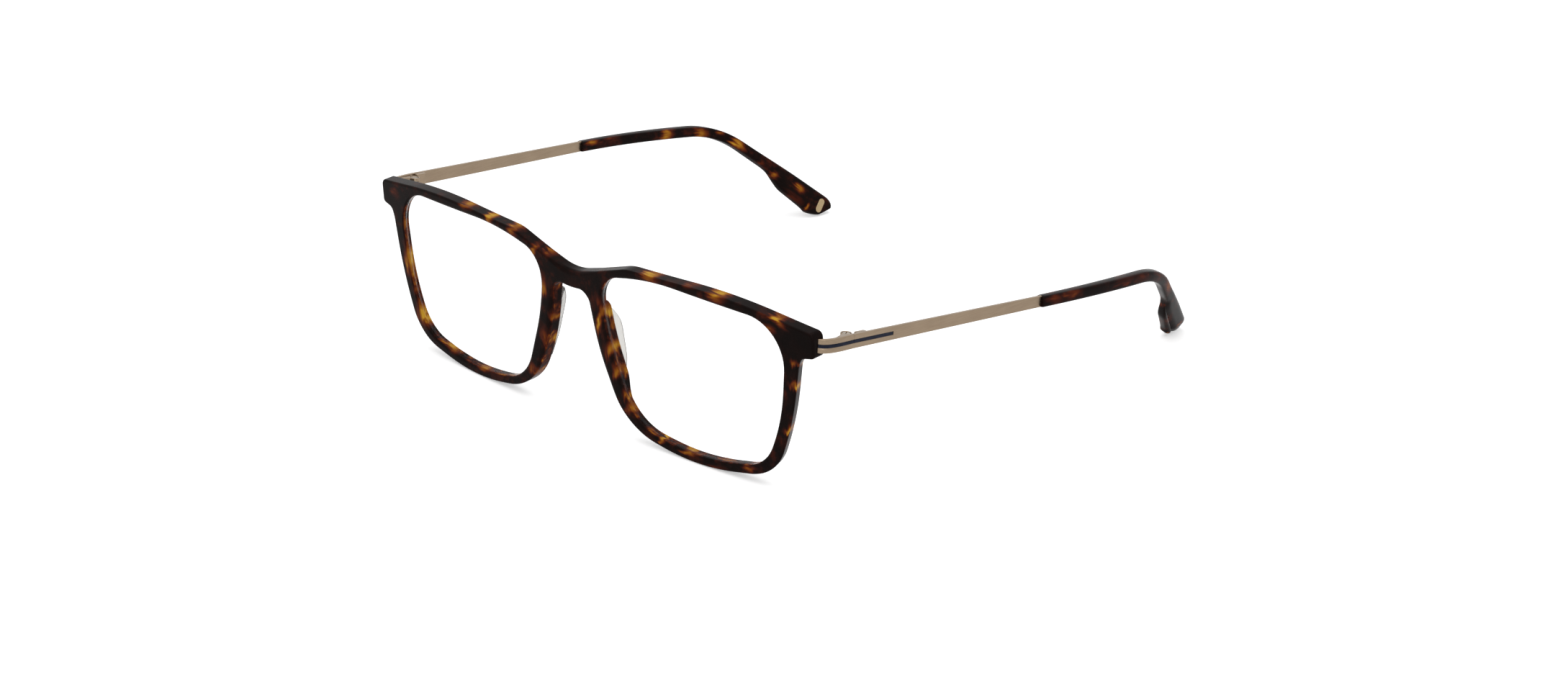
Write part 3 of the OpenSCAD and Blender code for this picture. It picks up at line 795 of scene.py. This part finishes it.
def makeEndStripe():
    s = stripShape
    start, steps = s["stripeFrom"], s["bendSteps"]
    out, c = s["thick"] / 2 - s["enamelSunk"], s["channel"] - s["slack"]
    section = [(out - 0.2, -c), (out - 0.03, -c), (out, -c + 0.08), (out + 0.012, 0), (out, c - 0.08),
               (out - 0.03, c), (out - 0.2, c)]
    rings = []
    for k in range(steps + 1):
        t = start + 0.01 + (0.99 - start) * k / steps
        rings.append(ringAt(bendPoint(t), bendSide(t), section))
    left = loft("endStripeLeft", rings)
    settle(left, endSpace)
    return left


def makeBar():
    s = stripShape
    end = s["stripeOnBar"]

    def ring(y, channel, shrink=1.0):
        high = s["high"] + (s["endHigh"] - s["high"]) * y / barLength
        return ringAt(Vector((hingeShape["inset"], y)), Vector((1, 0)), stripSection(high, channel), shrink)

    rings = [ring(0.1, True, s["endShrink"]), ring(0.16, True)]
    rings += [ring(y, True) for y in (2, 5, 8, end - 0.05)]
    rings += [ring(end, False)]
    rings += [ring(y, False) for y in range(14, 60, 4)]
    rings += [ring(barLength + 0.6, False)]
    left = loft("barLeft", rings)
    settle(left, templeSpace)
    return left


def makeBarStripe():
    s = stripShape
    c, end, thick = s["channel"] - s["slack"], s["stripeOnBar"] - 0.08, 0.22
    outline = [(0.1, c, 0.02), (end, c, 0.22), (end, -c, 0.22), (0.1, -c, 0.02)]
    left = cutPlate("barStripeLeft", [outline], thick, 0.04, 4, 2)
    out = hingeShape["inset"] + s["thick"] / 2 - s["enamelSunk"] - thick / 2
    settle(left, templeSpace @ Matrix.Translation((out, 0, 0)) @ standUp)
    return left


def pair(left, rightName, nodes, bodies, material, angle=38):
    right = otherSide(left, rightName)
    for piece, node, body in ((left, nodes + "_left", bodies[0]), (right, nodes + "_right", bodies[1])):
        polish(piece, angle)
        dress(piece, body, [node], material)


fixed = ("front", "front")
swinging = ("temple_left", "temple_right")
pair(makeEndPiece(), "endPieceRight", "end_piece", fixed, champagneMetal)
pair(makeEndStripe(), "endStripeRight", "end_piece_stripe", fixed, navyEnamel)
pair(makeBar(), "barRight", "temple_bar", swinging, champagneMetal)
pair(makeBarStripe(), "barStripeRight", "temple_stripe", swinging, navyEnamel)
print("metal strips made")


knuckleShape = {
    "r": 1.3, "high": 2.6, "mid": 0.8, "gap": 0.04, "bore": 0.62, "headBore": 1.02, "edge": 0.09,
    "leafHigh": 2.2, "templeLeafHigh": 3.0, "leafLong": 4.6,
    "wingIn": 1.1, "wingOut": 1.72, "plateIn": 1.05, "plateOut": 1.66, "pad": 1.1,
}


def arcPoints(r, start, stop, count, soft=0.4):
    angles = [math.radians(start + (stop - start) * k / count) for k in range(count + 1)]
    return [(r * math.cos(a), r * math.sin(a), soft) for a in angles]


def knuckle(name, high, bore, wing, z):
    hole = arcPoints(bore, 0, 337.5, 15, 0.3)
    plate = cutPlate(name, [wing, hole], high, knuckleShape["edge"], 3, 2)
    plate.location.z = z
    take(plate)
    bpy.ops.object.transform_apply(location=True)
    return plate


def makeFrontLeaf():
    s = knuckleShape
    web = (s["high"] - s["mid"]) / 2 - s["gap"]
    end = -s["leafLong"]
    wing = arcPoints(s["r"], 0, 270, 12)[2:]
    wing += [(s["wingIn"], end, 0.1), (s["plateOut"], end, 0.1), (s["wingOut"], -0.25, 0.1)]
    top = knuckle("frontLeafLeft", web, s["headBore"], wing, s["high"] / 2 - web / 2)
    low = knuckle("frontLeafLow", web, s["bore"], wing, -s["high"] / 2 + web / 2)
    outline = [(s["plateIn"], end, 0.1), (s["plateOut"], end, 0.1), (s["wingOut"], -1.5, 0.1),
               (s["plateIn"], -1.9, 0.1)]
    plate = cutPlate("frontLeafPlate", [outline], s["leafHigh"], 0.06, 3, 2)
    left = join("frontLeafLeft", [top, low, plate])
    settle(left, hingeSpace)
    return left


def makeTempleLeaf():
    s = knuckleShape
    inner = hingeShape["inset"] - stripShape["thick"] / 2
    face, root, end = inner + 0.02, s["r"] + 0.3, s["leafLong"]
    wing = [(-s["r"] * math.cos(math.radians(a)), -s["r"] * math.sin(math.radians(a)), 0.4)
            for a in range(-80, 181, 20)]
    wing += [(face, 0.25, 0.1), (face, s["r"] + 1.7, 0.1)]
    mid = knuckle("templeLeafLeft", s["mid"], s["bore"], wing, 0)
    back = inner - s["pad"]
    outline = [(back, root, 0.3), (back, end, 0.6), (face, end, 0.1), (face, root, 0.1)]
    plate = cutPlate("templeLeafPlate", [outline], s["templeLeafHigh"], 0.2, 5, 3)
    left = join("templeLeafLeft", [mid, plate])
    settle(left, templeSpace)
    return left


def pickFaces(obj, way):
    # only the faces that look up, or down for -1
    bpy.ops.mesh.select_all(action="DESELECT")
    shell = bmesh.from_edit_mesh(obj.data)
    for face in shell.faces:
        face.select_set(face.normal.z * way > 0.9)
    bmesh.update_edit_mesh(obj.data)


def slottedScrew(name, s):
    head, high, deep = s["head"], s["headHigh"], s["slotDeep"]
    deselect()
    bpy.ops.mesh.primitive_cylinder_add(vertices=40, radius=head, depth=high, location=(0, 0, -high / 2))
    obj = bpy.context.object
    obj.name = name
    bpy.ops.object.transform_apply(location=True)
    bpy.ops.object.mode_set(mode="EDIT")
    bpy.ops.mesh.select_mode(type="FACE")
    pickFaces(obj, 1)
    bpy.ops.mesh.inset(thickness=head * 0.2)
    bpy.ops.transform.translate(value=(0, 0, 0.05))
    pickFaces(obj, -1)
    bpy.ops.mesh.inset(thickness=head - s["shank"])
    bpy.ops.mesh.extrude_region_move(TRANSFORM_OT_translate={"value": (0, 0, -s["long"])})
    bpy.ops.object.mode_set(mode="OBJECT")
    bpy.ops.object.modifier_add(type="BEVEL")
    bevel = obj.modifiers[-1]
    bevel.width = 0.05
    bevel.segments = 2
    bevel.limit_method = "ANGLE"
    bpy.ops.object.modifier_apply(modifier=bevel.name)
    bpy.ops.mesh.primitive_cube_add(size=1, location=(0, 0, 0.1 - deep / 2))
    blade = bpy.context.object
    blade.scale = (s["slot"], head * 3, deep + 0.2)
    bpy.ops.object.transform_apply(location=True, scale=True)
    take(obj)
    bpy.ops.object.modifier_add(type="BOOLEAN")
    cut = obj.modifiers[-1]
    cut.object = blade
    cut.operation = "DIFFERENCE"
    cut.solver = "EXACT"
    bpy.ops.object.modifier_apply(modifier=cut.name)
    bpy.data.objects.remove(blade)
    return obj


hingeScrewShape = {
    "shank": 0.56, "long": 2.1, "head": 0.93, "headHigh": 0.3, "slot": 0.26, "slotDeep": 0.2, "turn": 35,
    "top": 1.2,
}
lugScrewShape = {
    "shank": 0.5, "long": 1.0, "head": 0.9, "headHigh": 0.4, "slot": 0.28, "slotDeep": 0.22, "turn": 25,
    "x": 66.9, "z": 36.9, "proud": 0.02,
}


def makeHingeScrew():
    s = hingeScrewShape
    left = slottedScrew("hingeScrewLeft", s)
    settle(left, hingeSpace @ Matrix.Translation((0, 0, s["top"])) @ turned(s["turn"], "Z"))
    return left


def makeLugScrew():
    s, bow = lugScrewShape, frontShape["bow"]
    left = slottedScrew("lugScrewLeft", s)
    swing = math.degrees(math.asin(s["x"] / bow))
    back = Matrix.Translation((0, -bow + frontShape["thick"] + s["proud"], 0))
    settle(left, frontPlane @ Matrix.Translation((0, bow, s["z"])) @ turned(swing, "Z") @ back
           @ turned(-90, "X") @ turned(s["turn"], "Z"))
    return left


pair(makeFrontLeaf(), "frontLeafRight", "hinge_front_leaf", fixed, champagneMetal)
pair(makeTempleLeaf(), "templeLeafRight", "hinge_temple_leaf", swinging, champagneMetal)
pair(makeHingeScrew(), "hingeScrewRight", "hinge_screw", fixed, screwSteel)
pair(makeLugScrew(), "lugScrewRight", "lug_screw", fixed, screwSteel)
print("hinges made")


tipShape = {
    "long": 86.5, "thick": 2.9, "high": 2.7, "rings": 96,
    "firstTurn": 9.5, "firstFall": 2.2, "earTurn": 19, "earBend": 31, "bendFrom": 37.3, "bendRun": 17.2,
    "turnRun": 18, "bendMid": 45.9, "roll": 26, "rollFrom": 38.3, "rollRun": 18,
    "notch": 2.4, "notchFrom": 62, "notchRun": 9.2, "swell": 1.3, "swellFrom": 68.5, "swellRun": 18,
    "topSwell": 0.55, "topFrom": 54, "topRun": 20,
    "endRound": 3.2, "endThin": 0.4, "pull": 1.7, "slant": 0.72, "slantRun": 10,
    "mouth": 0.6, "mouthRound": 0.18, "mouthPart": 0.83, "mouthTaper": 30,
    "groove": 0.55, "grooveWide": 1.2, "grooveFrom": 62, "grooveRun": 3, "grooveLow": -0.86,
    "crease": 0.3, "creaseTo": 67, "creaseRun": 5,
}


def tipFrame(s):
    t = tipShape
    swing = math.radians(t["firstTurn"] * clamp01(s / t["bendFrom"])
                         + t["earTurn"] * clamp01((s - t["bendFrom"]) / t["turnRun"]))
    fall = math.radians(t["firstFall"] * clamp01(s / t["bendMid"])
                        + t["earBend"] * clamp01((s - t["bendFrom"]) / t["bendRun"]))
    roll = math.radians(t["roll"] * clamp01((s - t["rollFrom"]) / t["rollRun"]))
    along = Vector((-math.sin(swing) * math.cos(fall), math.cos(swing) * math.cos(fall), -math.sin(fall)))
    side = Vector((math.cos(swing), math.sin(swing), 0))
    out = side * math.cos(roll) - side.cross(along) * math.sin(roll)
    return along, out, out.cross(along)


def tipStations():
    t = tipShape
    count, start, steps = t["rings"], t["mouth"], 6
    stops = [0, 0.1, 0.25]
    stops += [start + (t["long"] - start) * (1 - (1 - i / count) ** 1.5) for i in range(count + 1)]
    at = Vector((0, 0, 0))
    stations = [(0.0, at.copy())]
    for a, b in zip(stops, stops[1:]):
        for k in range(steps):
            at = at + tipFrame(a + (b - a) * (k + 0.5) / steps)[0] * (b - a) / steps
        stations.append((b, at.copy()))
    return stations


def tipHeights(s):
    t = tipShape
    notch = eased((s - t["notchFrom"]) / t["notchRun"])
    near = clamp01(1 - (t["long"] - s) / t["endRound"])
    pull = t["pull"] * (1 - math.sqrt(1 - near * near))
    swell = t["swell"] * clamp01((s - t["swellFrom"]) / t["swellRun"])
    low = t["high"] / 2 + t["notch"] * notch + swell - pull
    top = t["high"] / 2 + t["topSwell"] * eased((s - t["topFrom"]) / t["topRun"]) - pull
    return top, low, 1 - t["endThin"] * near ** 3


def grooveLine(s):
    # lower edge of the arm, carried on down the paddle's outer face
    return -1.4 - 0.9 * eased((s - tipShape["grooveFrom"]) / 7) - 0.6 * clamp01((s - 68) / 17)


def faceSteps(middle, count):
    # heights from -1 to 1, close together at both ends and at the groove
    ease = [(1 - math.cos(math.pi * k / count)) / 2 for k in range(count)]
    return [-1 + (middle + 1) * e for e in ease] + [middle + (1 - middle) * e for e in ease] + [1]


def makeTip():
    t = tipShape
    rings, runs = [], []
    for s, at in tipStations():
        along, out, up = tipFrame(s)
        top, low, thin = tipHeights(s)
        mouth = 1 - t["mouthRound"] * (1 - math.sqrt(1 - (1 - clamp01(s / t["mouth"])) ** 2))
        body = t["mouthPart"] + (1 - t["mouthPart"]) * clamp01(s / t["mouthTaper"])
        half, wide = (top + low) / 2 * mouth, t["thick"] / 2 * body * mouth * thin
        offset = (top - low) / 2
        slant = t["slant"] * eased((s - t["long"] + t["slantRun"]) / t["slantRun"])
        middle = max(t["grooveLow"], (grooveLine(s) - offset) / half)
        begun = eased((s - t["grooveFrom"]) / t["grooveRun"])
        deep = t["groove"] * begun
        fold = t["crease"] * begun * (1 - eased((s - t["creaseTo"]) / t["creaseRun"]))
        spots = [(step, 1, deep) for step in faceSteps(middle, 15)[:-1]]
        spots += [(step, -1, fold) for step in reversed(faceSteps(middle, 11)[1:])]
        ring = []
        for step, face, cut in spots:
            v = half * step
            u = wide * (1 - step ** 4) ** 0.25
            u -= cut * max(0, 1 - abs(v - half * middle) / t["grooveWide"]) ** 2
            ring.append(at + up * (offset + v) + out * u * face - along * slant * (half - v))
            runs.append((s, u * face, offset + v))
        rings.append(ring)
    left = loft("tipLeft", rings)
    grain = left.data.attributes.new("run", "FLOAT_VECTOR", "POINT")
    flat = [p for ring in rings for p in ring]
    spots = {tuple(round(c, 3) for c in p): r for p, r in zip(flat, runs)}
    for spot, value in zip(left.data.vertices, grain.data):
        value.vector = spots[tuple(round(c, 3) for c in spot.co)]
    settle(left, tipSpace)
    return left


plaqueShape = {"at": 82.7, "wide": 1.7, "long": 4.0, "thick": 0.4, "edge": 0.1, "sunk": 0.12}


def makePlaque():
    s = plaqueShape
    along, out, up = tipFrame(s["at"])
    top, low, _ = tipHeights(s["at"])
    stations = tipStations()
    before = [q for q in stations if q[0] <= s["at"]][-1]
    after = [q for q in stations if q[0] > s["at"]][0]
    at = before[1].lerp(after[1], (s["at"] - before[0]) / (after[0] - before[0]))
    at = at + up * (top - low) / 2 - out * (tipShape["thick"] / 2 - s["sunk"])
    x, y = s["wide"] / 2, s["long"] / 2
    r = x * 0.98
    outline = [(-x, y, r), (x, y, r), (x, -y, r), (-x, -y, r)]
    left = cutPlate("plaqueLeft", [outline], s["thick"], s["edge"], 8, 3)
    place = Matrix((along, up, out)).transposed().to_4x4()
    place.translation = at
    settle(left, tipSpace @ place)
    return left


pair(makeTip(), "tipRight", "temple_tip", swinging, tipAcetate, 60)
pair(makePlaque(), "plaqueRight", "tip_plaque", swinging, goldPlaque)
print("tips made")


floorLook = {"size": 6, "glow": 0.42, "mirrorGlow": 0.1}
roomLook = {"dim": 0.62, "seen": 1.0}
lampLooks = [  # name, place, size, power
    ("softTop", (0.1, -0.1, 0.8), 0.9, 3.0),
    ("softFront", (0.7, -0.7, 0.55), 0.6, 1.2),
]
cameraLook = {
    "at": (0.55757, -0.58348, 0.31625), "back": (0.6456, -0.67134, 0.36401), "roll": 0.88, "lens": 82.2,
}


def makeFloor():
    deselect()
    bpy.ops.mesh.primitive_plane_add(size=floorLook["size"], location=(0, 0, -0.00002))
    floor = bpy.context.object
    floor.name = "floor"
    bench = nodeBench("paleFloor")
    coords = bench.coords()
    grain = bench.noise(coords, 0.02, detail=2)
    matte = bench.add("ShaderNodeBsdfDiffuse")
    bench.link(bench.ramp(grain, [(0.3, (0.93, 0.93, 0.93)), (0.7, (0.95, 0.95, 0.95))]),
               matte.inputs["Color"])
    glow = bench.add("ShaderNodeEmission")
    path = bench.add("ShaderNodeLightPath")
    glow.inputs["Color"].default_value = (1, 1, 1, 1)
    seen = bench.sum(path.outputs["Is Camera Ray"], path.outputs["Is Transmission Ray"], "MAXIMUM")
    seen = bench.sum(seen, floorLook["glow"], "MULTIPLY")
    mirror = bench.sum(path.outputs["Is Glossy Ray"], floorLook["mirrorGlow"], "MULTIPLY")
    bench.link(bench.sum(seen, mirror, "MAXIMUM"), glow.inputs["Strength"])
    both = bench.add("ShaderNodeAddShader")
    bench.link(matte.outputs[0], both.inputs[0])
    bench.link(glow.outputs[0], both.inputs[1])
    bench.link(both.outputs[0], bench.out.inputs[0])
    floor.data.materials.append(bench.material)


def makeLight():
    scene = bpy.context.scene
    world = bpy.data.worlds.new("studio")
    scene.world = world
    world.use_nodes = True
    tree = world.node_tree
    tree.nodes.clear()
    out = tree.nodes.new("ShaderNodeOutputWorld")
    room = tree.nodes.new("ShaderNodeBackground")
    room.inputs["Color"].default_value = (1, 1, 1, 1)
    path = tree.nodes.new("ShaderNodeLightPath")
    seen = tree.nodes.new("ShaderNodeMath")
    seen.operation = "MAXIMUM"
    tree.links.new(path.outputs["Is Camera Ray"], seen.inputs[0])
    tree.links.new(path.outputs["Is Transmission Ray"], seen.inputs[1])
    shown = tree.nodes.new("ShaderNodeMath")
    shown.operation = "MAXIMUM"
    tree.links.new(seen.outputs[0], shown.inputs[0])
    tree.links.new(path.outputs["Is Glossy Ray"], shown.inputs[1])
    level = tree.nodes.new("ShaderNodeMapRange")
    level.inputs["To Min"].default_value = roomLook["dim"]
    level.inputs["To Max"].default_value = roomLook["seen"]
    tree.links.new(shown.outputs[0], level.inputs["Value"])
    tree.links.new(level.outputs[0], room.inputs["Strength"])
    tree.links.new(room.outputs[0], out.inputs[0])
    for name, at, size, power in lampLooks:
        deselect()
        bpy.ops.object.light_add(type="AREA", location=at)
        lamp = bpy.context.object
        lamp.name = name
        lamp.data.size = size
        lamp.data.energy = power
        lamp.rotation_euler = (Vector((0, 0, 0.02)) - Vector(at)).to_track_quat("-Z", "Y").to_euler()


def makeCamera():
    deselect()
    bpy.ops.object.camera_add(location=cameraLook["at"])
    camera = bpy.context.object
    camera.name = "camera"
    camera.data.sensor_width = 36
    camera.data.lens = cameraLook["lens"]
    aim = Vector(cameraLook["back"]).to_track_quat("Z", "Y").to_matrix().to_4x4()
    camera.rotation_euler = (aim @ turned(cameraLook["roll"], "Z")).to_euler()
    bpy.context.scene.camera = camera


makeFloor()
makeLight()
makeCamera()
bpy.context.scene.view_settings.view_transform = "Standard"
deselect()
print("scene ready")
